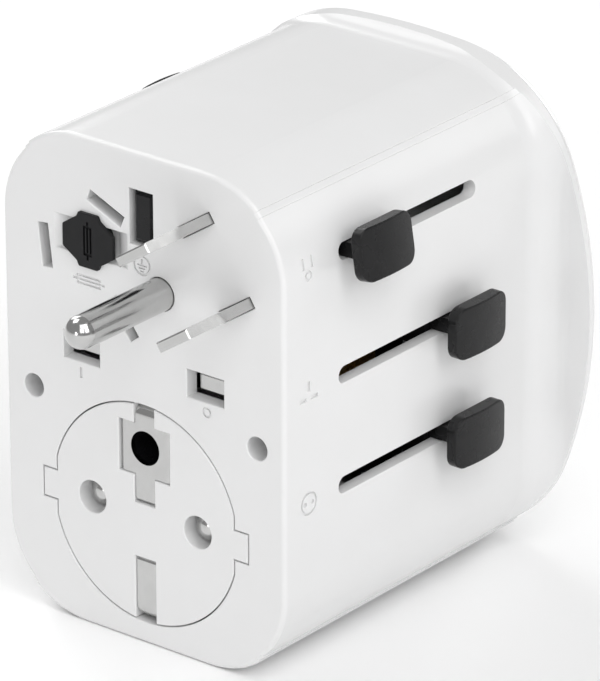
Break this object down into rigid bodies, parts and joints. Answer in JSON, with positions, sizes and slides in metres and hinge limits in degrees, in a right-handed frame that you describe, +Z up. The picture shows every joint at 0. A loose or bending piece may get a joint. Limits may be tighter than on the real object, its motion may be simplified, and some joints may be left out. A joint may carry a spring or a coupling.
{
  "type": "universal travel adapter",
  "caption": "Travel adapter with four sliding plug sets, a pop-out puck, a fuse cap and a recessed socket in a flared back.",
  "frame": {"origin": "centre of the flat bottom, midway between the front and back faces", "axes": "+Z up, standing on the flat bottom; the plug end faces -Y, the socket +Y; the three-slider side is +X"},
  "size_m": [0.0664, 0.0812, 0.0754],
  "materials": {
    "white_shell": "smooth glossy white moulded plastic",
    "white_cover": "smooth glossy white moulded plastic",
    "white_puck": "smooth glossy white moulded plastic",
    "charcoal_slider": "satin charcoal plastic",
    "fuse_plastic": "satin dark grey plastic",
    "black_plastic": "matt black plastic",
    "inner_plastic": "matt black-grey plastic",
    "nickel": "bright nickel plate",
    "contact_brass": "bare brass",
    "steel": "plain steel",
    "fuse_glass": "clear glass tube with metal ends"
  },
  "bodies": {
    "housing": {"front_shell": "white_shell", "rear_cover": "white_cover", "housing_screws": "steel", "slider_rods": "steel", "contact_block": "inner_plastic", "socket_contact_live": "contact_brass", "socket_contact_neutral": "contact_brass", "live_strap": "contact_brass", "neutral_strap": "contact_brass", "socket_earth_bow": "nickel", "shutter_spring": "steel", "fuse_holder": "fuse_plastic", "fuse_contact_spring": "steel"},
    "usa_set": {"usa_slider": "charcoal_slider", "usa_carriage": "inner_plastic", "usa_blade_upper": "nickel", "usa_blade_lower": "nickel", "usa_ground_pin": "nickel"},
    "uk_set": {"uk_slider": "charcoal_slider", "uk_carriage": "inner_plastic", "uk_live_pin": "nickel", "uk_neutral_pin": "nickel", "uk_earth_pin": "black_plastic"},
    "aus_set": {"aus_slider": "charcoal_slider", "aus_carriage": "inner_plastic", "aus_blade_upper": "nickel", "aus_blade_left": "nickel", "aus_blade_earth": "nickel"},
    "de_control": {"de_slider": "charcoal_slider", "de_carriage": "inner_plastic"},
    "de_puck_set": {"de_puck": "white_puck", "de_earth_clip_top": "nickel", "de_earth_clip_bottom": "nickel", "de_earth_sleeve": "black_plastic"},
    "de_pin_set": {"de_yoke": "inner_plastic", "de_live_pin": "nickel", "de_neutral_pin": "nickel"},
    "fuse_pull_out": {"fuse_link": "fuse_glass"},
    "fuse_cap_turn": {"fuse_cap": "fuse_plastic"},
    "shutter": {"socket_shutter": "white_cover"}
  },
  "joints": [
    {"name": "usa_slide", "type": "slide", "parent": "housing", "child": "usa_set", "axis": [0, 1, 0], "range_m": [0, 0.0214]},
    {"name": "uk_slide", "type": "slide", "parent": "housing", "child": "uk_set", "axis": [0, -1, 0], "range_m": [0, 0.0214]},
    {"name": "aus_slide", "type": "slide", "parent": "housing", "child": "aus_set", "axis": [0, -1, 0], "range_m": [0, 0.0214]},
    {"name": "de_slide", "type": "slide", "parent": "housing", "child": "de_control", "axis": [0, -1, 0], "range_m": [0, 0.0214]},
    {"name": "de_puck_slide", "type": "slide", "parent": "housing", "child": "de_puck_set", "axis": [0, -1, 0], "range_m": [0, 0.0175]},
    {"name": "de_pin_slide", "type": "slide", "parent": "de_puck_set", "child": "de_pin_set", "axis": [0, -1, 0], "range_m": [0, 0.0203]},
    {"name": "fuse_pull", "type": "slide", "parent": "housing", "child": "fuse_pull_out", "axis": [0, -1, 0], "range_m": [0, 0.026]},
    {"name": "fuse_turn", "type": "hinge", "parent": "fuse_pull_out", "child": "fuse_cap_turn", "pos_m": [-0.00915, -0.0312, 0.05885], "axis": [0, -1, 0], "range_deg": [0, 90]},
    {"name": "shutter_slide", "type": "slide", "parent": "housing", "child": "shutter", "axis": [1, 0, 0], "range_m": [0, 0.0053], "stiffness_N_per_m": 80, "springref_m": -0.002, "deforming": ["shutter_spring"]}
  ],
  "couplings": [
    {"joint": "de_puck_slide", "follows": "de_slide", "ratio": 0.81776},
    {"joint": "de_pin_slide", "follows": "de_slide", "ratio": 0.9486}
  ]
}
